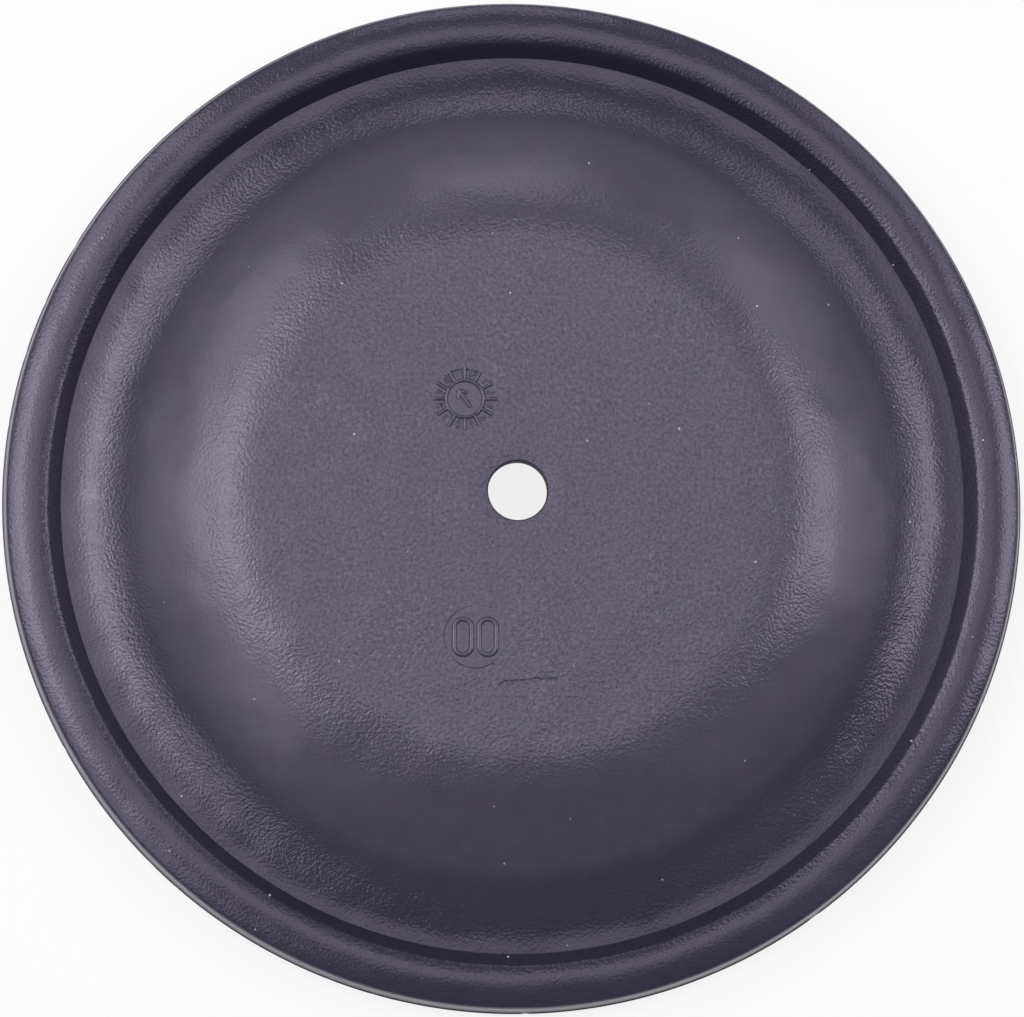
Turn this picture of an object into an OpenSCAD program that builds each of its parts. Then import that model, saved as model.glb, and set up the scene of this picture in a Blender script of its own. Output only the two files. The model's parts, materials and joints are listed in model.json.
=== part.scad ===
// Pump diaphragm: one moulded rubber dome with a flat crown, a stud hole and a round clamping bead.
// Sizes are in millimetres and slopes in degrees. The part lies on its bead with the crown up.

/* [Overall] */
// Outside diameter over the moulding flash
outside_d = 192; // [165:1:230]
// Diameter of the stud hole in the crown
hole_d = 11; // [6:0.5:20]

/* [Bead] */
// Radial width of the bead
bead_w = 10.8; // [8:0.1:16]
// Height of the bead
bead_h = 9.6; // [7:0.1:16]
// Corner radius of the bead's section
bead_round = 4.4; // [1:0.1:8]
// How far the moulding flash stands out at the parting line
flash_w = 0.4; // [0.2:0.1:1]
// Thickness of the flash
flash_t = 0.3; // [0.2:0.1:1]

/* [Membrane] */
// Wall thickness of the membrane
membrane_t = 3.2; // [2:0.1:5]
// Diameter of the flat crown
crown_d = 95; // [76:1:110]
// Radius of the shoulder beside the crown
shoulder_r = 26; // [12:0.5:45]
// Slope at which the shoulder passes into the flank
shoulder_slope = 20; // [12:0.5:30]
// Bulge radius of the flank
flank_r = 65; // [40:1:150]
// Radius of the hollow at the foot of the flank
hollow_r = 20; // [8:0.5:30]
// Width of the flat flange between the hollow and the bead
flange_w = 1; // [0.5:0.1:6]

/* [Moulded marks] */
// Width of a raised line
line_w = 0.6; // [0.3:0.05:1]
// Height of a raised line
line_h = 0.22; // [0.1:0.02:0.4]
// Distance of the date dial from the stud hole's centre
dial_at = 19.7; // [17:0.1:28]
// Direction of the date dial, turned from the right
dial_turn = 120; // [0:1:360]
// Diameter of the dial's ring
dial_ring_d = 7; // [5:0.1:9]
// Diameter over the dial's strokes
dial_d = 11.8; // [10:0.1:14]
// Gap between the dial's ring and its strokes
dial_gap = 0.2; // [0:0.05:0.5]
// Number of sectors on the dial
dial_sectors = 12; // [4:1:16]
// Diameter of the round number pad
pad_d = 11.4; // [9:0.1:14]
// Height of the pads above the crown
pad_h = 0.12; // [0.05:0.01:0.3]
// Distance of the round pad's centre from the crown's edge
pad_inset = 19.1; // [9:0.1:22]
// Direction of the round pad, turned from the right
pad_turn = 254; // [0:1:360]
// Height of the two loops on the round pad
loop_h = 6.6; // [4:0.1:8]
// Width of each loop
loop_w = 3.2; // [2:0.1:4]
// Width of the blank insert near the crown's edge
blank_w = 12; // [6:0.1:18]
// Depth of the blank insert
blank_d = 6.6; // [4:0.1:10]
// Distance of the blank insert's centre from the crown's edge
blank_inset = 8.9; // [6:0.1:12]
// Direction of the blank insert, turned from the right
blank_turn = 275; // [0:1:360]

/* [Hidden] */
$fn = 120;

// Radii from the axis outwards
hole_r = hole_d / 2;
crown_r = crown_d / 2;
outside_r = outside_d / 2;
bead_r = outside_r - flash_w - bead_w / 2;
flange_r = bead_r - bead_w / 2 - flange_w;
bead_corner = min(bead_round, 0.49 * bead_w, 0.49 * bead_h);

// Steepest slope of the flank, where it meets the hollow: the three arcs fill the span exactly
span = flange_r - crown_r;
flank_slope = asin((span + (flank_r - shoulder_r) * sin(shoulder_slope)) / (flank_r + hollow_r));

// Directions square to the surface at the two joins, and the rise of the crown above the flange
join_1 = [sin(shoulder_slope), cos(shoulder_slope)];
join_2 = [sin(flank_slope), cos(flank_slope)];
rise = shoulder_r * (1 - join_1[1]) + flank_r * (join_1[1] - join_2[1]) + hollow_r * (1 - join_2[1]);

// Heights: the flange sits at the middle of the bead
parting_z = bead_h / 2;
flange_z = parting_z + membrane_t / 2;
crown_z = flange_z + rise;

// Centres of the three arcs of the upper surface
shoulder_c = [crown_r, crown_z - shoulder_r];
flank_c = shoulder_c + (shoulder_r - flank_r) * join_1;
hollow_c = [flange_r, flange_z + hollow_r];

// A raised line is the cap of a rod that is sunk into the crown
line_r = (line_w * line_w / 4 + line_h * line_h) / (2 * line_h);
line_z = crown_z + line_h - line_r;

function polar(r, turn) = [r * cos(turn), r * sin(turn)];

// Part of a ring between two directions
module arc_band(centre, r_in, r_out, from, to) {
    reach = 2 * r_out;
    translate(centre)
        intersection() {
            difference() {
                circle(r_out);
                circle(r_in);
            }
            polygon([[0, 0], polar(reach, from), polar(reach, (from + to) / 2), polar(reach, to)]);
        }
}

// Rectangle with round corners, about its centre
module rounded_box(w, h, r) {
    square([w - 2 * r, h], center = true);
    square([w, h - 2 * r], center = true);
    for (x = [-1, 1], y = [-1, 1])
        translate([x * (w / 2 - r), y * (h / 2 - r)])
            circle(r);
}

// Half section from the stud hole to the flash
module section() {
    translate([hole_r, crown_z - membrane_t])
        square([crown_r - hole_r, membrane_t]);
    arc_band(shoulder_c, shoulder_r - membrane_t, shoulder_r, 90, 90 - shoulder_slope);
    arc_band(flank_c, flank_r - membrane_t, flank_r, 90 - shoulder_slope, 90 - flank_slope);
    arc_band(hollow_c, hollow_r, hollow_r + membrane_t, 270 - flank_slope, 270);
    translate([flange_r, flange_z - membrane_t])
        square([bead_r - flange_r, membrane_t]);
    translate([bead_r, parting_z])
        rounded_box(bead_w, bead_h, bead_corner);
    translate([bead_r, parting_z - flash_t / 2])
        square([outside_r - bead_r, flash_t]);
}

// Straight raised line between two points of the crown
module stroke(a, b) {
    d = b - a;
    translate([a[0], a[1], line_z])
        rotate([0, 90, atan2(d[1], d[0])])
            cylinder(r = line_r, h = norm(d));
}

// Raised ring on the crown, or part of one
module ring(d, turn = 360) {
    translate([0, 0, line_z])
        rotate_extrude(angle = turn)
            translate([d / 2, 0])
                circle(line_r);
}

// Date dial: a ring with strokes between the sectors, a dot in each sector and a pointer
module date_dial() {
    dot_at = (dial_ring_d + dial_d) / 4;
    step = 360 / dial_sectors;
    ring(dial_ring_d);
    for (i = [0 : dial_sectors - 1]) {
        stroke(polar(dial_ring_d / 2 + dial_gap, i * step), polar(dial_d / 2, i * step));
        translate([each polar(dot_at, (i + 0.5) * step), line_z])
            sphere(line_r);
    }
    stroke([0, -dial_ring_d / 4], [0, dial_ring_d / 4]);
}

// Loop with straight sides and round ends
module loop() {
    half = (loop_h - loop_w) / 2;
    for (side = [-1, 1])
        stroke([side * loop_w / 2, -half], [side * loop_w / 2, half]);
    for (end = [0, 180])
        rotate(end)
            translate([0, half])
                ring(loop_w, 180);
}

// Round pad with two plain loops
module number_pad() {
    translate([0, 0, crown_z - pad_h])
        cylinder(d = pad_d, h = 2 * pad_h);
    for (side = [-1, 1])
        translate([side * pad_d / 5, 0, pad_h])
            loop();
}

// Blank insert plate, square to its own radius
module blank_insert() {
    translate([-blank_d / 2, -blank_w / 2, crown_z - pad_h])
        cube([blank_d, blank_w, 2 * pad_h]);
}

module diaphragm() {
    color("#5a5665")
        union() {
            rotate_extrude()
                section();
            translate(polar(dial_at, dial_turn))
                date_dial();
            translate(polar(crown_r - pad_inset, pad_turn))
                number_pad();
            rotate(blank_turn)
                translate([crown_r - blank_inset, 0])
                    blank_insert();
        }
}

diaphragm();
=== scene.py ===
# %% [markdown]
# # A pump diaphragm in moulded rubber
#
# The real part is one round moulding: a flat crown with a hole for the pump's stud, a
# membrane that slopes down to a narrow flange, and a thick bead along the rim that the
# pump's body clamps. The CAD model holds that shape already. This lesson gives it the
# surface of a real moulding, from the grain of the mould to the flash at the rim.

import json
import math

import bpy
from mathutils import Matrix, Vector


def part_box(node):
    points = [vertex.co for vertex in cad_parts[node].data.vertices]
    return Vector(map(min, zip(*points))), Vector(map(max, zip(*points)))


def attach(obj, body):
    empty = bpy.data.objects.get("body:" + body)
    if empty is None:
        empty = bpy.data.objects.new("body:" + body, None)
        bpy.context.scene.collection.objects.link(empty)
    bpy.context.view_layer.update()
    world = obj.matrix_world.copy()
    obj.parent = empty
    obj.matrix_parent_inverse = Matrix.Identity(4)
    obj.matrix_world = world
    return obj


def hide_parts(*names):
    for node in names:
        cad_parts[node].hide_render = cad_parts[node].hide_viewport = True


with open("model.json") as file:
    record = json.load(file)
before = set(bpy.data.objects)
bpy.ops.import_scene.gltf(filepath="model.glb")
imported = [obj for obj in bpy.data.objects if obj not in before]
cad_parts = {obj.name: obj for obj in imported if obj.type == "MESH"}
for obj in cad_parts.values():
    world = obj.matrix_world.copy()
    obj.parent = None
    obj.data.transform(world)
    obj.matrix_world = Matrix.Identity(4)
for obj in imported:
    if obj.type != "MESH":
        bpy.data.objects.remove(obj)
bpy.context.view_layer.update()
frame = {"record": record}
scene = bpy.context.scene
scene.view_settings.view_transform = "Standard"

# %% [markdown]
# ## Sizes
#
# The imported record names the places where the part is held: the stud hole, the two flat
# seats of the crown and the bead. Those mounts fix the main sizes, so the lesson reads them
# instead of writing them again. Everything below is in millimetres until a mesh is made.

# %% Read the main sizes from the mounts
MM = 0.001
mounts = {mount["name"]: mount for mount in frame["record"]["mounts"]}
outside_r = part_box("diaphragm")[1].x / MM
hole_r = mounts["stud_hole"]["dims"]["r_mm"]
crown_z = mounts["air_side_seat"]["pos_m"][2] / MM
membrane_t = crown_z - mounts["fluid_side_seat"]["pos_m"][2] / MM
bead_r = mounts["clamp_bead"]["pos_m"][0] / MM
parting_z = mounts["clamp_bead"]["pos_m"][2] / MM
print(f"outside {2 * outside_r:.1f} mm, hole {2 * hole_r:.1f} mm")
print(f"wall {membrane_t:.2f} mm, crown at {crown_z:.2f} mm")

# %% [markdown]
# ## The half section
#
# Seen in section, the membrane is a chain of arcs: a shoulder that rolls off the flat
# crown, a long bulging flank, and a hollow that runs out into the flange. The arcs are
# tangent to each other, so only their radii are given, and the steepest slope follows from
# the span that they have to fill. They are the radii of the CAD model.

# %% Chain of arcs from the crown to the flange
flash_w, flash_t = 0.4, 0.3
crown_r, shoulder_r, flank_r, hollow_r, flange_w = 47.5, 26.0, 65.0, 20.0, 1.0
shoulder_slope = 20.0
bead_w = 2 * (outside_r - flash_w - bead_r)
bead_h = 2 * parting_z
flange_z = parting_z + membrane_t / 2
flange_r = bead_r - bead_w / 2 - flange_w

turn = math.radians(shoulder_slope)
bulge = (flank_r - shoulder_r) * math.sin(turn)
flank_slope = math.degrees(math.asin((flange_r - crown_r + bulge) / (flank_r + hollow_r)))
shoulder_c = Vector((crown_r, crown_z - shoulder_r))
flank_c = shoulder_c + (shoulder_r - flank_r) * Vector((math.sin(turn), math.cos(turn)))
hollow_c = Vector((flange_r, flange_z + hollow_r))
print(f"bead {bead_w:.1f} x {bead_h:.1f} mm, steepest slope of the flank {flank_slope:.1f} degrees")


# %% Helpers for points of a section
def arc(centre, radius, start, end, steps):
    """Points of an arc between two directions in degrees."""
    turns = [math.radians(start + (end - start) * i / steps) for i in range(steps + 1)]
    return [(centre[0] + radius * math.cos(t), centre[1] + radius * math.sin(t)) for t in turns]


def run(start, end, steps):
    """Points of a straight stretch, without its two ends."""
    return [tuple(Vector(start).lerp(Vector(end), i / steps)) for i in range(1, steps)]


# %% [markdown]
# ### The bead
#
# The solid of the CAD model rounds the bead evenly. On the real one each side differs: the
# top swells softly to a narrow edge, and then a straight wall drops, steeply to the flash
# on the outside and at a slant into the crease on the inside. One function draws a side:
# a wide arc from the crest, a tight arc for the edge, and the line from the foot that just
# touches it. The underside, which the clamp hides, stays as in the CAD model.


# %% One side of the bead, from the crest to its foot
def bead_side(side, wide, slope, tight, foot_r, foot_z):
    """Points of the bead's top; side is 1 outwards and -1 inwards."""
    crest_z = parting_z + bead_h / 2
    top_c = Vector((0, crest_z - wide))
    lean = math.radians(slope)
    edge_c = top_c + (wide - tight) * Vector((math.sin(lean), math.cos(lean)))
    foot = Vector((side * (foot_r - bead_r), foot_z))
    drop = foot - edge_c
    wall = math.degrees(math.atan2(drop.y, drop.x) + math.acos(tight / drop.length))
    points = arc(top_c, wide, 90, 90 - slope, 8) + arc(edge_c, tight, 90 - slope, wall, 6)[1:]
    points += run(points[-1], foot, 4) + [tuple(foot)]
    print(f"wall of the bead at {90 - wall:.0f} degrees, side {side}")
    return [(bead_r + side * across, z) for across, z in points]


# %% Both sides of the bead
flash_top, crease_gap = 0.2, 0.15
wall_r = bead_r + bead_w / 2
flash_r, flash_z = wall_r + flash_top, parting_z + flash_t / 2
crease_r = flange_r + flange_w + crease_gap
inner_side = bead_side(-1, wide=7.6, slope=20.0, tight=1.6, foot_r=crease_r, foot_z=flange_z)
outer_side = bead_side(1, wide=11.0, slope=23.0, tight=1.15, foot_r=flash_r, foot_z=flash_z)

# %% The whole section, from the stud hole outwards and back along the underside
lip, bead_round = 0.3, 4.4
crown_low = crown_z - membrane_t
corner_x, corner_z = bead_w / 2 - bead_round, bead_h / 2 - bead_round
foot_turn = math.degrees(math.asin((membrane_t / 2 - corner_z) / bead_round))
section = (
    arc((hole_r + lip, crown_z - lip), lip, 180, 90, 5)
    + run((hole_r + lip, crown_z), (crown_r, crown_z), 12)
    + arc(shoulder_c, shoulder_r, 90, 90 - shoulder_slope, 10)
    + arc(flank_c, flank_r, 90 - shoulder_slope, 90 - flank_slope, 10)[1:]
    + arc(hollow_c, hollow_r, 270 - flank_slope, 270, 14)[1:]
    + inner_side[::-1]
    + outer_side[1:]
    + arc((outside_r - flash_t / 2, parting_z), flash_t / 2, 90, -90, 4)
    + [(wall_r, parting_z - flash_t / 2)]
    + arc((bead_r + corner_x, parting_z - corner_z), bead_round, 0, -90, 8)
    + arc((bead_r - corner_x, parting_z - corner_z), bead_round, -90, -180 + foot_turn, 7)
    + arc(hollow_c, hollow_r + membrane_t, 270, 270 - flank_slope, 7)
    + arc(flank_c, flank_r - membrane_t, 90 - flank_slope, 90 - shoulder_slope, 6)[1:]
    + arc(shoulder_c, shoulder_r - membrane_t, 90 - shoulder_slope, 90, 6)[1:]
    + arc((hole_r + lip, crown_low + lip), lip, 270, 180, 3)
)
print(f"section of {len(section)} points")

# %% The section as a closed curve
# The sweep lays a profile's X outwards from the path and its Y downwards.
profile = bpy.data.curves.new("section", "CURVE")
profile.dimensions = "3D"
outline = profile.splines.new("POLY")
outline.points.add(len(section) - 1)
outline.use_cyclic_u = True
for point, (r, z) in zip(outline.points, section):
    point.co = ((r - bead_r) * MM, -z * MM, 0, 1)
turned = bpy.data.objects.new("turned_section", profile)
scene.collection.objects.link(turned)
print(f"curve of {len(outline.points)} points")

# %% [markdown]
# ## A Geometry Nodes tree for the moulding
#
# A turned part could be spun in mesh code, but a Geometry Nodes tree keeps the rule in
# view: a circle for the path, the section as the profile, and the moulded marks joined on
# top. A few helpers make a node and plug its sockets in one line. They serve the material
# later as well, because both kinds of tree share the math nodes.


# %% Helpers for node trees
def plug(tree, socket, value):
    """Links a socket to another one, or writes a plain value on it."""
    if isinstance(value, bpy.types.NodeSocket):
        tree.links.new(value, socket)
    else:
        socket.default_value = value


def node(tree, kind, settings=None, **plugs):
    """Makes a node; a plug's name is the socket's, with _ for a blank."""
    made = tree.nodes.new(kind)
    for name, value in (settings or {}).items():
        setattr(made, name, value)
    for name, value in plugs.items():
        plug(tree, made.inputs[name.replace("_", " ")], value)
    return made


# %% Helpers for sums in a tree
def sums(tree, operation, *values, clamp=False):
    """A Math node on the given values."""
    made = node(tree, "ShaderNodeMath", {"operation": operation, "use_clamp": clamp})
    for socket, value in zip(made.inputs, values):
        plug(tree, socket, value)
    return made.outputs[0]


def vector(tree, operation, *values):
    """A Vector Math node on the given values; length and distance come as a number."""
    made = node(tree, "ShaderNodeVectorMath", {"operation": operation})
    sockets = (made.inputs[0], made.inputs["Scale"]) if operation == "SCALE" else made.inputs
    for socket, value in zip(sockets, values):
        plug(tree, socket, value)
    return made.outputs["Value" if operation in ("LENGTH", "DISTANCE") else "Vector"]


def ramp(tree, value, start, end, low=0.0, high=1.0):
    """A soft step: low up to start, high from end on."""
    made = node(tree, "ShaderNodeMapRange", {"interpolation_type": "SMOOTHSTEP"})
    for socket, item in zip(made.inputs, (value, start, end, low, high)):
        plug(tree, socket, item)
    return made.outputs[0]


# %% Rods for the lines on the crown
def rod(width, height):
    """Radius of a rod whose cap is that wide and high, and its axis's level over the crown."""
    radius = (width ** 2 / 4 + height ** 2) / (2 * height)
    return radius, height - radius


thin_r, thin_level = rod(0.36, 0.24)
fine_r, fine_level = rod(0.76, 0.32)
bold_r, bold_level = rod(1.0, 0.28)
joint_r, joint_level = rod(0.36, 0.16)
print("rods of", [round(2 * r, 2) for r in (thin_r, fine_r, bold_r, joint_r)], "mm")

# %% The tree, and a helper for its named inputs
rubber = bpy.data.materials.new("moulded_rubber")
rubber.use_nodes = True
moulding = bpy.data.node_groups.new("moulding", "GeometryNodeTree")
sizes = {}
print(f"tree {moulding.name} and material {rubber.name}")


def tree_input(name, kind, value=None):
    """A named input of the tree; its value goes to the modifier later, by identifier."""
    socket = moulding.interface.new_socket(name, in_out="INPUT", socket_type=kind)
    if value is not None:
        sizes[socket.identifier] = value


# %% Fill in the inputs
ring_r, pad_r, flash_clear, torn_by = 3.5, 5.7, 0.03, 0.16
tree_input("Section", "NodeSocketGeometry")
tree_input("Around", "NodeSocketInt", 600)
tree_input("Bead circle", "NodeSocketFloat", bead_r * MM)
tree_input("Flash from", "NodeSocketFloat", (flash_r + flash_clear) * MM)
tree_input("Torn by", "NodeSocketFloat", torn_by * MM)
tree_input("Thin line", "NodeSocketFloat", thin_r * MM)
tree_input("Fine line", "NodeSocketFloat", fine_r * MM)
tree_input("Bold line", "NodeSocketFloat", bold_r * MM)
tree_input("Joint line", "NodeSocketFloat", joint_r * MM)
tree_input("Dial ring", "NodeSocketFloat", ring_r * MM)
tree_input("Sectors", "NodeSocketInt", 12)
tree_input("Pad radius", "NodeSocketFloat", pad_r * MM)
tree_input("Seed", "NodeSocketInt", 7)
tree_input("Rubber", "NodeSocketMaterial", rubber)
moulding.interface.new_socket("Moulding", in_out="OUTPUT", socket_type="NodeSocketGeometry")
given = node(moulding, "NodeGroupInput").outputs
print("inputs:", [socket.name for socket in given if socket.name])

# %% [markdown]
# ### Turned body and torn flash
#
# The mould halves meet at mid-height of the bead, and a film of rubber creeps into the gap.
# When it is trimmed it tears here and there, so the rim ends in a thin edge with a few
# nicks. Only the points outside the bead's wall move, and only inwards, so the part keeps
# its outside size.


# %% Sweep the section round the bead circle
def circle(points, radius):
    """A round curve about the axis, with so many points."""
    return node(
        moulding, "GeometryNodeCurvePrimitiveCircle", Resolution=points, Radius=radius,
    ).outputs[0]


path = circle(given["Around"], given["Bead circle"])
upright = node(moulding, "GeometryNodeSetCurveNormal", {"mode": "Z_UP"}, Curve=path)
swept = node(
    moulding, "GeometryNodeCurveToMesh",
    Curve=upright.outputs[0], Profile_Curve=given["Section"],
)
print(f"swept round a circle of {2 * bead_r:.1f} mm")

# %% Tear the flash
tear_from, tear_full = 0.58, 0.70
here = node(moulding, "GeometryNodeInputPosition").outputs[0]
level = vector(moulding, "MULTIPLY", here, (1, 1, 0))
reach = vector(moulding, "LENGTH", level)
tears = node(
    moulding, "ShaderNodeTexNoise", {"noise_dimensions": "4D"},
    Vector=here, W=given["Seed"], Scale=150.0, Detail=3.0, Roughness=0.7,
)
tears = ramp(moulding, tears.outputs[0], tear_from, tear_full)
torn = sums(moulding, "MULTIPLY", tears, given["Torn by"])
torn = sums(moulding, "MULTIPLY", torn, sums(moulding, "GREATER_THAN", reach, given["Flash from"]))
torn = sums(moulding, "MULTIPLY", torn, -1.0)
inwards = vector(moulding, "SCALE", vector(moulding, "NORMALIZE", level), torn)
body = node(moulding, "GeometryNodeSetPosition", Geometry=swept.outputs[0], Offset=inwards)
body = body.outputs[0]
print(f"flash torn by up to {torn_by} mm")

# %% [markdown]
# ### Moulded marks
#
# Marks cut into the mould stand out on the crown. A raised line is the cap of a thin rod
# that is sunk into the rubber, swept along a curve. Sweeping keeps every line equally wide
# and round, which an extruded outline would not.


# %% Helpers for lines on the crown
def moved(geometry, shift=(0, 0, 0), turn=0.0):
    """Geometry turned about Z and shifted, in millimetres and degrees."""
    return node(
        moulding, "GeometryNodeTransform", Geometry=geometry,
        Translation=tuple(v * MM for v in shift), Rotation=(0, 0, math.radians(turn)),
    ).outputs[0]


def line_along(curve, line, level):
    """A rod along a curve in the plane of the crown, with its axis at a level above it."""
    made = node(
        moulding, "GeometryNodeCurveToMesh",
        Curve=curve, Profile_Curve=circle(24, given[line]), Fill_Caps=True,
    )
    return moved(made.outputs[0], (0, 0, crown_z + level))


def straight(start, end):
    """A straight curve between two points in millimetres."""
    ends = [(x * MM, y * MM, 0) for x, y in (start, end)]
    return node(moulding, "GeometryNodeCurvePrimitiveLine", Start=ends[0], End=ends[1]).outputs[0]


def polar(radius, degrees):
    """A point of the crown at a distance and a direction."""
    turn = math.radians(degrees)
    return radius * math.cos(turn), radius * math.sin(turn)


# %% [markdown]
# The date dial is a round insert of the mould that the maker turns: a ring with a pointer
# in it, and around it the numbers of the months, parted by strokes. The strokes are one
# curve, repeated on the points of a circle and turned outwards. The numbers are so small
# that each is built from short bars, as on a pocket calculator.

# %% Dial: ring and strokes
dial_out, dial_turn, stroke_from, stroke_to = 19.7, 120, 3.7, 5.9
dial_at = polar(dial_out, dial_turn)


def dial_line(curve, turn=0.0):
    """A fine line of the dial, in its place on the crown."""
    return moved(line_along(curve, "Fine line", fine_level), (*dial_at, 0), turn)


ring = circle(96, given["Dial ring"])
spots = circle(given["Sectors"], given["Dial ring"])
outward = node(moulding, "FunctionNodeAlignRotationToVector", {"axis": "X"}, Vector=here)
strokes = node(
    moulding, "GeometryNodeInstanceOnPoints", Points=spots, Rotation=outward.outputs[0],
    Instance=straight((stroke_from - ring_r, 0), (stroke_to - ring_r, 0)),
)
strokes = node(moulding, "GeometryNodeRealizeInstances", Geometry=strokes.outputs[0])
marks = [dial_line(ring), dial_line(strokes.outputs[0])]
print("dial at", [round(v, 1) for v in dial_at], "mm")

# %% Dial: pointer
tip, barb, pointer_turn = 1.9, (1.0, 0.7), 35
pointer = [((0, -tip), (0, tip)), ((0, tip), (-barb[0], barb[1])), ((0, tip), barb)]
marks += [dial_line(straight(*ends), pointer_turn) for ends in pointer]
print(f"pointer {2 * tip} mm long")

# %% Dial: the bars of a figure
figure_w, figure_h, bar_gap = 0.6, 1.3, 0.17
left, right, low, middle, top = 0, figure_w, -figure_h / 2, 0, figure_h / 2
bars = {
    "a": ((left, top), (right, top)),
    "b": ((right, middle), (right, top)),
    "c": ((right, low), (right, middle)),
    "d": ((left, low), (right, low)),
    "e": ((left, low), (left, middle)),
    "f": ((left, middle), (left, top)),
    "g": ((left, middle), (right, middle)),
}
figures = [
    "abcdef", "bc", "abdeg", "abcdg", "bcfg", "acdfg", "acdefg", "abc", "abcdefg", "abcdfg",
]
print(f"figures of {figure_w} x {figure_h} mm")

# %% Dial: the numbers of the months
months, before_first, figure_at, figure_gap = 12, 75, 4.8, 0.4
sector = 360 / months
numbers = node(moulding, "GeometryNodeJoinGeometry")
for month in range(1, months + 1):
    direction = before_first - sector * month
    place = Vector(polar(figure_at, direction))
    upright_turn = Matrix.Rotation(math.radians(direction - 90), 2)
    digits = str(month)
    shift = -(len(digits) * (figure_w + figure_gap) - figure_gap) / 2
    for index, digit in enumerate(digits):
        corner = Vector((shift + index * (figure_w + figure_gap), 0))
        for bar in figures[int(digit)]:
            start, end = (Vector(point) for point in bars[bar])
            cut_back = (end - start).normalized() * bar_gap
            shortened = (start + cut_back, end - cut_back)
            ends = [place + upright_turn @ (corner + point) for point in shortened]
            moulding.links.new(straight(*ends), numbers.inputs[0])
marks.append(moved(line_along(numbers.outputs[0], "Thin line", thin_level), (*dial_at, 0)))
print(f"{len(numbers.inputs[0].links)} bars in the numbers")

# %% [markdown]
# The round pad is a second insert, a hair proud of the crown, with two plain loops. The
# blank plate near the crown's edge closes a third pocket of the mould. It sits flush, so all
# that shows of it in the rubber is the fine line of its inner joint, which wanders a little.
# The pad and the dial show a bit of such a joint as well. A union can't make a groove, so
# thin rods are cut out of the body first.

# %% Round pad with two loops
pad_inset, pad_turn = 19.1, 254
pad_h, loop_h, loop_w, loop_gap = 0.05, 6.6, 3.2, 2.28
nearly_half = 0.499  # just short of half, so that the ends keep their points apart
pad_at = polar(crown_r - pad_inset, pad_turn)
disc = node(
    moulding, "GeometryNodeMeshCylinder",
    Vertices=96, Radius=given["Pad radius"], Depth=2 * pad_h * MM,
)
marks.append(moved(disc.outputs[0], (*pad_at, crown_z)))
loop = node(
    moulding, "GeometryNodeCurvePrimitiveQuadrilateral", Width=loop_w * MM, Height=loop_h * MM,
)
loop = node(
    moulding, "GeometryNodeFilletCurve", {"mode": "POLY"},
    Curve=loop.outputs[0], Count=12, Radius=nearly_half * loop_w * MM,
)
for side in (-1, 1):
    raised = line_along(loop.outputs[0], "Bold line", bold_level)
    marks.append(moved(raised, (pad_at[0] + side * loop_gap, pad_at[1], pad_h)))
print("pad at", [round(v, 1) for v in pad_at], "mm")

# %% Joints of the inserts, as rods to cut
# An arc is given by its centre, radius, first direction, sweep and level over the crown.
joint = [
    (-3.7, -36.3), (-2.4, -35.45), (2.1, -35.2), (3.4, -34.8),
    (4.4, -35.05), (7.0, -34.9), (8.4, -34.4),
]
grooves = [
    line_along(straight(*ends), "Joint line", -joint_level) for ends in zip(joint, joint[1:])
]
joint_arcs = [
    (dial_at, 5.5, 62, 58, 0.0),
    (pad_at, pad_r, 95, 110, 0.08),
    (pad_at, pad_r, 225, 80, 0.08),
]
for place, edge_r, start, sweep, up in joint_arcs:
    edge = node(
        moulding, "GeometryNodeCurveArc", Resolution=40, Radius=edge_r * MM,
        Start_Angle=math.radians(start), Sweep_Angle=math.radians(sweep),
    )
    edge = line_along(edge.outputs[0], "Joint line", up - joint_level)
    grooves.append(moved(edge, (*place, 0)))
print(f"{len(grooves)} grooves")

# %% Cut the joints in
cut = node(
    moulding, "GeometryNodeMeshBoolean", {"operation": "DIFFERENCE", "solver": "MANIFOLD"},
)
moulding.links.new(body, cut.inputs["Mesh 1"])
for groove in grooves:
    moulding.links.new(groove, cut.inputs["Mesh 2"])
body = cut.outputs[0]
print(f"joints {joint_r - abs(joint_level):.2f} mm deep")

# %% [markdown]
# ### Join everything and make it a plain mesh
#
# A boolean union leaves one closed skin. Edges that turn sharply, such as the crease at the
# foot of the bead, stay sharp, and all others are shaded smooth. The export keeps plain
# meshes only, so the evaluated result is copied and the modifier goes.

# %% Union, shading and material
crisp_from = 30
union = node(moulding, "GeometryNodeMeshBoolean", {"operation": "UNION", "solver": "MANIFOLD"})
for part in [body, *marks]:
    moulding.links.new(part, union.inputs["Mesh 2"])
soft = node(moulding, "GeometryNodeSetShadeSmooth", Geometry=union.outputs[0], Shade_Smooth=True)
bend = node(moulding, "GeometryNodeInputMeshEdgeAngle").outputs["Unsigned Angle"]
crisp = node(
    moulding, "GeometryNodeSetShadeSmooth", {"domain": "EDGE"}, Geometry=soft.outputs[0],
    Selection=sums(moulding, "GREATER_THAN", bend, math.radians(crisp_from)), Shade_Smooth=False,
)
real = node(moulding, "GeometryNodeRealizeInstances", Geometry=crisp.outputs[0])
dressed = node(
    moulding, "GeometryNodeSetMaterial", Geometry=real.outputs[0], Material=given["Rubber"],
)
node(moulding, "NodeGroupOutput", Moulding=dressed.outputs[0])
print(f"tree of {len(moulding.nodes)} nodes")

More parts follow.
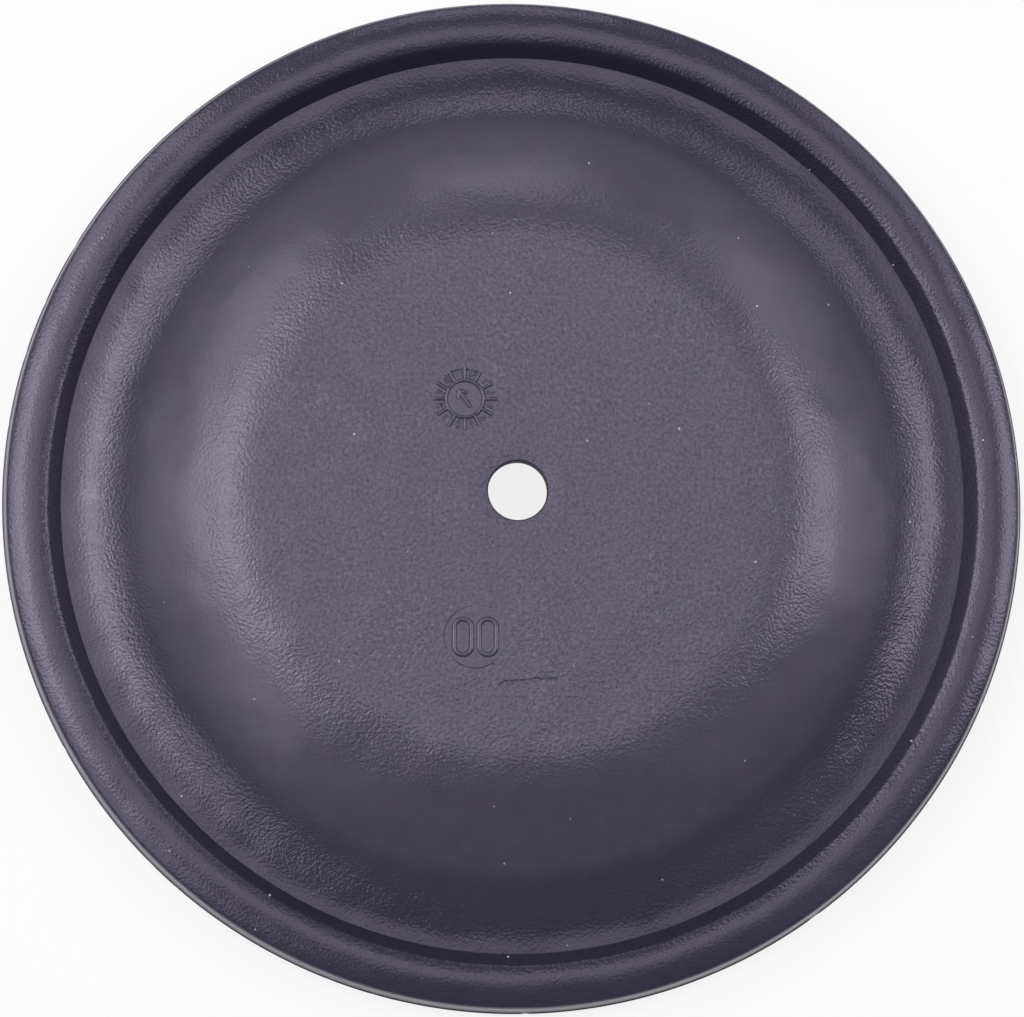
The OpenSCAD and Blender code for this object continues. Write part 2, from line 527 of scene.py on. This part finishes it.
# %% Evaluate the tree and keep a plain mesh
modifier = turned.modifiers.new("moulding", "NODES")
modifier.node_group = moulding
for identifier, value in sizes.items():
    modifier[identifier] = value
scene.view_layers[0].update()
evaluated = turned.evaluated_get(bpy.context.evaluated_depsgraph_get())
shape = bpy.data.meshes.new_from_object(evaluated)
turned.modifiers.remove(modifier)
bpy.data.objects.remove(turned)
diaphragm = bpy.data.objects.new("rubber_diaphragm", shape)
scene.collection.objects.link(diaphragm)
shape.calc_loop_triangles()
print(f"{len(shape.vertices)} points, {len(shape.loop_triangles)} triangles")

# %% Place it in the frame
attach(diaphragm, "root")
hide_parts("diaphragm")
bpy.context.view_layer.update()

# %% [markdown]
# ## Rubber
#
# Dark rubber that has lain a while carries a violet-grey bloom. The material makes the rubber paler
# on the crown and down the flank. It paints shade through the hollow, across the flange and into
# the crease at the foot of the bead, where the rubber grows dark. It also paints a highlight as a
# pale line along the outer edge of the rim. The steel of the mould gave it its grain, a fine orange
# peel: full on the crown, on the shoulder and in the hollow, finer on the crest of the bead, and
# almost polished away on the flank. A painted texture could hold all that, but these rings follow
# the distance from the axis, so the material works that out first.

# %% Distance from the axis, in millimetres
paint = rubber.node_tree
skin = paint.nodes["Principled BSDF"]
at = vector(paint, "SCALE", node(paint, "ShaderNodeTexCoord").outputs["Object"], 1 / MM)
plan = vector(paint, "MULTIPLY", at, (1, 1, 0))
radius = vector(paint, "LENGTH", plan)
print(f"{rubber.name}: distance from {len(paint.nodes)} nodes")


# %% Helpers for numbers and masks
def times(*values):
    """The product of several numbers."""
    result = values[0]
    for value in values[1:]:
        result = sums(paint, "MULTIPLY", result, value)
    return result


def total(*values):
    """The sum of several numbers."""
    result = values[0]
    for value in values[1:]:
        result = sums(paint, "ADD", result, value)
    return result


def less(mask, share):
    """1 outside a mask, and less by a share inside it."""
    return sums(paint, "SUBTRACT", 1.0, times(mask, share), clamp=True)


def near(centre, inner, outer):
    """1 round a point of the plan, down to 0 at the outer distance."""
    away = vector(paint, "DISTANCE", plan, (*centre, 0))
    return ramp(paint, away, inner, outer, 1.0, 0.0)


# %% Helpers for noise, colours and rings
def noise(scale, detail=2.0, roughness=0.5):
    """Noise with about `scale` waves a millimetre, from -0.5 to 0.5."""
    made = node(
        paint, "ShaderNodeTexNoise", Vector=at, Scale=scale, Detail=detail, Roughness=roughness,
    )
    return sums(paint, "SUBTRACT", made.outputs[0], 0.5)


def mixed(share, first, second):
    """A colour between two, by the share of the second."""
    made = node(paint, "ShaderNodeMix", {"data_type": "RGBA"})
    for index, value in zip((0, 6, 7), (share, first, second)):
        plug(paint, made.inputs[index], value)
    return made.outputs[2]


def rings(steps, most, span=100):
    """Runs through pairs of a radius, within the span, and a number, none above the most."""
    fade = node(paint, "ShaderNodeValToRGB", Fac=times(radius, 1 / span))
    stops = fade.color_ramp.elements
    stops.remove(stops[1])
    for index, (place, number) in enumerate(steps):
        stop = stops[0] if index == 0 else stops.new(place / span)
        stop.position = place / span
        stop.color = (number / most, number / most, number / most, 1)
    return times(fade.outputs["Color"], most)


# %% [markdown]
# The grain is one noise without a direction, and a list of rings says how deep it is. The
# inserts of the mould are smoother. A slow swell under it stands for a wall that isn't quite
# true, and breaks up the highlights. Bump is enough for both, because they are lower than a
# fifth of a millimetre.

# %% Relief of the grain, in millimetres
insert_smoother, swell_h = 0.5, 0.45
inserts = total(near(dial_at, 3.1, 3.4), near(pad_at, 5.4, 5.7))
depth = rings([
    (0, 0.09), (45, 0.09), (50, 0.125), (56.5, 0.11), (60, 0.035), (63, 0.02), (69, 0.016),
    (73, 0.1), (76.5, 0.14), (79.5, 0.09), (83, 0.05), (84.8, 0.05), (85.0, 0.03), (86.2, 0.11),
    (88.4, 0.09), (90.5, 0.04), (92, 0.07), (95.6, 0.06),
], 0.2)
depth = times(depth, less(inserts, insert_smoother))
grain = noise(1.8, 1.0)
swell = noise(0.08, 1.0)
height = total(times(grain, depth), times(swell, swell_h))
relief = node(paint, "ShaderNodeBump", Strength=1.0, Distance=MM, Height=height)
plug(paint, skin.inputs["Normal"], relief.outputs[0])
print(f"relief from {len(paint.nodes)} nodes")

# %% [markdown]
# A second list over the radius says how pale each ring is. It is paler on the crown and down the
# flank. It holds painted shade in the hollow, on the flange and in the crease, and a painted
# highlight along the outer edge of the rim. Where the rings are darker, painted shade included, the
# rubber is more violet. Patches of slate and mauve lie over it, the crown is speckled by its grain
# and rubbed pale here and there, and the inserts of the mould are a touch paler.

# %% How pale each ring is, with painted shade in the hollow and the crease and a painted highlight at the rim
# Painted shade: the steps fall from the hollow across the flange into the crease at the foot of the
# bead. Painted highlight: the steps rise along the outer edge of the rim.
bloom_and_painted_light = rings([
    (0, 1.16), (45, 1.19), (51, 1.27), (57, 1.33), (61, 1.37), (65, 1.42), (69, 1.45),
    (73, 1.12), (76, 0.94), (79, 0.74), (82, 0.58), (84.85, 0.45), (85.0, 0.26), (86.2, 0.32),
    (87.2, 0.41), (88.4, 0.53), (90, 0.62), (91.5, 0.69), (94.6, 0.82), (95.3, 1.4), (95.7, 1.5),
], 2.0)
bore_edge = (hole_r + 0.1, hole_r + 0.4)
# The wall of the stud hole is painted darker, as painted shade.
painted_bore_shade = ramp(paint, radius, *bore_edge, 0.3, 1.0)
# The flash beyond the bead's wall is painted dark, as painted shade along the rim.
painted_flash_shade = ramp(paint, radius, flash_r - 0.02, flash_r + 0.06, 1.0, 0.3)
tone_and_painted_light = times(bloom_and_painted_light, painted_bore_shade, painted_flash_shade)
# Both the darker wall of the stud hole and the dark flash are painted shade.
print(f"bloom thinner within {hole_r} mm and beyond {flash_r:.1f} mm")

# %% Slate, mauve and violet
slate, mauve = (0.0507, 0.0472, 0.0727, 1), (0.0552, 0.0487, 0.0727, 1)
patches = ramp(paint, noise(0.15, 4.0, 0.6), -0.12, 0.15)
hue = mixed(patches, slate, mauve)
# More violet where the rings are darker, so the painted shade turns more violet too.
bluer = ramp(paint, bloom_and_painted_light, 0.25, 1.2, 1.25, 1.0)
violet = node(paint, "ShaderNodeCombineXYZ", X=1.0, Y=1.0, Z=bluer)
hue = vector(paint, "MULTIPLY", hue, violet.outputs[0])
print("from slate", slate[:3], "to mauve", mauve[:3])

# %% Mottle: the speckle of the grain and rubbed places
crown_edge, crown_fade, rub_end = 44, 56, 50
plain, insert_calmer, insert_paler = 0.98, 0.5, 0.03
speckle = ramp(paint, radius, crown_edge, crown_fade, 1.75, 0.1)
speckle = times(noise(1.5, 1.0), speckle, less(inserts, insert_calmer))
rubbed = times(
    ramp(paint, noise(0.07, 2.0), 0.0, 0.12),
    ramp(paint, noise(0.8, 4.0, 0.7), 0.03, 0.2),
    ramp(paint, radius, crown_edge, rub_end, 0.9, 0.0),
)
clouds = ramp(paint, radius, crown_edge, crown_fade, 0.4, 0.18)
clouds = times(noise(0.4, 3.0, 0.6), clouds)
mottle = total(plain, clouds, times(inserts, insert_paler), speckle, rubbed)
coloured = vector(paint, "SCALE", hue, times(tone_and_painted_light, mottle))
print(f"mottle of the crown fades from {crown_edge} to {crown_fade} mm")

# %% [markdown]
# Use leaves a few white specks of dust. Two pale patches in the hollow on the left, in the same
# pale colour, are painted highlights where the hollow's highlight is brightest. The specks sit in
# the cells of a Voronoi pattern, one in each, and a cell's random colour decides whether its speck
# is large enough to show.

# %% Dust, and painted highlights in the hollow
cell, largest, hidden = 15, 0.024, 0.009
dust_and_highlight, dust_cover, highlight_cover = (0.5, 0.48, 0.53, 1), 0.8, 0.15
cells = node(
    paint, "ShaderNodeTexVoronoi", {"voronoi_dimensions": "2D"}, Vector=plan, Scale=1 / cell,
)
chance = node(paint, "ShaderNodeSeparateColor", Color=cells.outputs["Color"]).outputs[0]
speck_r = sums(paint, "SUBTRACT", times(chance, largest), hidden)
speck = sums(paint, "LESS_THAN", cells.outputs["Distance"], speck_r)
# Painted highlights: two pale patches in the hollow on the left.
highlight_patches = total(near((-78.9, 0.8), 0.6, 3.6), near((-77.4, 11.2), 0.4, 2.6))
painted_highlight = times(highlight_patches, ramp(paint, noise(0.9, 3.0, 0.6), -0.15, 0.2), highlight_cover)
with_dust_and_highlight = mixed(total(times(speck, dust_cover), painted_highlight), coloured, dust_and_highlight)
plug(paint, skin.inputs["Base Color"], with_dust_and_highlight)
print(f"specks of up to {2 * cell * (largest - hidden):.2f} mm, at most one in {cell} mm")

# %% [markdown]
# Gloss comes last. The shoulder and the hollow were closest to polished steel, so they shine
# most and show every pit of the grain. The crease is dull with dust, and the wall of the
# stud hole with the tool that cut it. Rubber filled with soot reflects a little more than
# plain plastic, and the bloom tints its shine.

# %% Gloss
gloss = rings([
    (0, 0.24), (46, 0.24), (50, 0.21), (57, 0.21), (61, 0.26), (72, 0.26), (74.5, 0.18),
    (80, 0.19), (84.8, 0.25), (85, 0.5), (86, 0.4), (87, 0.26), (91, 0.25), (92, 0.22),
    (95.6, 0.22), (95.8, 0.45),
], 1.0)
bore_duller, waver = 0.5, 0.03
in_bore = ramp(paint, radius, *bore_edge, bore_duller, 0.0)
uneven = times(noise(0.2, 3.0), waver)
plug(paint, skin.inputs["Roughness"], total(gloss, in_bore, uneven))
skin.inputs["Specular IOR Level"].default_value = 0.64
skin.inputs["Specular Tint"].default_value = (0.87, 0.76, 1.0, 1)
print(f"rubber of {len(paint.nodes)} nodes")

# %% [markdown]
# ## Floor, light and camera
#
# The part lies on white paper. To a camera and to gloss the paper shows mostly its own
# white, so that it stays white without more light on the rubber, and the rest is lit, so
# that it keeps the shadow.

# %% Floor
floor_half = 3.0
corners = [(x * floor_half, y * floor_half, 0) for x, y in ((-1, -1), (1, -1), (1, 1), (-1, 1))]
floor_mesh = bpy.data.meshes.new("floor")
floor_mesh.from_pydata(corners, [], [(0, 1, 2, 3)])
floor = bpy.data.objects.new("floor", floor_mesh)
scene.collection.objects.link(floor)
print("floor of", 2 * floor_half, "m")

# %% White paper
paper_white, own_white = 0.85, 0.84
paper = bpy.data.materials.new("white_paper")
paper.use_nodes = True
tree = paper.node_tree
tree.nodes.clear()
light_path = node(tree, "ShaderNodeLightPath").outputs
seen = sums(tree, "MAXIMUM", light_path["Is Camera Ray"], light_path["Is Glossy Ray"])
seen = sums(tree, "MAXIMUM", seen, light_path["Is Transmission Ray"])
lit = node(tree, "ShaderNodeBsdfDiffuse", Color=(paper_white, paper_white, paper_white, 1))
glow = node(tree, "ShaderNodeEmission", Color=(1, 1, 1, 1), Strength=1.0)
mix = node(tree, "ShaderNodeMixShader", Fac=sums(tree, "MULTIPLY", seen, own_white))
tree.links.new(lit.outputs[0], mix.inputs[1])
tree.links.new(glow.outputs[0], mix.inputs[2])
node(tree, "ShaderNodeOutputMaterial", Surface=mix.outputs[0])
floor_mesh.materials.append(paper)
print(f"paper with {own_white:.0%} of its own white")

# %% [markdown]
# Soft boxes stand round the table, the strongest on the left and on the right and the
# weakest at the front right, so the side of the dome that faces the reader falls into shade.
# Each is given by where it stands: the direction in plan, the height as an angle, and its
# power.

# %% Dim room
room_light = 0.02
scene.world = bpy.data.worlds.new("studio")
scene.world.use_nodes = True
sky = scene.world.node_tree.nodes["Background"]
sky.inputs["Color"].default_value = (1, 1, 1, 1)
sky.inputs["Strength"].default_value = room_light
print(f"room light {room_light}")


# %% Helper for a soft box
def soft_box(name, azimuth, elevation, watts, tall=0.47, wide=0.47, away=1.2):
    """A soft box that looks at the part from a direction."""
    lamp = bpy.data.lights.new(name, "AREA")
    lamp.shape = "RECTANGLE"
    lamp.size, lamp.size_y = wide, tall
    lamp.energy = watts
    box = bpy.data.objects.new(name, lamp)
    scene.collection.objects.link(box)
    turn, rise = math.radians(azimuth), math.radians(elevation)
    flat = math.cos(rise)
    towards = Vector((flat * math.cos(turn), flat * math.sin(turn), math.sin(rise)))
    box.location = away * towards
    box.rotation_euler = (-towards).to_track_quat("-Z", "Y").to_euler()
    print(f"{name}: {watts} W")


# %% Soft boxes
soft_box("left_box", 171, 53, 4.04, tall=0.55, wide=0.6)
soft_box("low_left_box", 172, 32, 0.85, wide=0.6)
soft_box("high_left_box", 162, 69, 2.07, wide=0.6)
soft_box("back_left_box", 135, 44, 2.63, tall=0.72)
soft_box("back_box", 90, 33, 1.0, tall=0.38)
soft_box("back_right_box", 45, 35, 1.41, tall=0.65)
soft_box("right_box", 10, 47, 3.29, wide=0.6)
soft_box("low_right_box", 5, 30, 1.13, wide=0.6)
soft_box("high_right_box", 20, 72, 0.56, wide=0.6)
soft_box("front_left_box", 212, 51, 1.88, tall=0.75)
soft_box("front_right_box", 325, 50, 0.23, tall=0.65)
soft_box("over_box", 80, 81, 1.54, tall=0.7)

# %% [markdown]
# The camera looks almost straight down from the front, a little from the left, from as far
# away as the shifts between rim, crease and stud hole in the picture ask for.

# %% Camera
tilt, swing = math.radians(8.18), math.radians(-19.2)
distance, lens = 863.0, 161.15
aim = Vector((-0.36, -1.34, parting_z))
lean = math.sin(tilt)
back = Vector((lean * math.sin(swing), -lean * math.cos(swing), math.cos(tilt)))
up = (Vector((0, 1, 0)) - back.y * back).normalized()
camera = bpy.data.objects.new("camera", bpy.data.cameras.new("camera"))
scene.collection.objects.link(camera)
camera.data.lens = lens
camera.data.clip_start = 0.05
stand = Matrix((up.cross(back), up, back)).transposed().to_4x4()
stand.translation = (aim + distance * back) * MM
camera.matrix_world = stand
scene.camera = camera
print("camera at", [round(v, 3) for v in stand.translation])
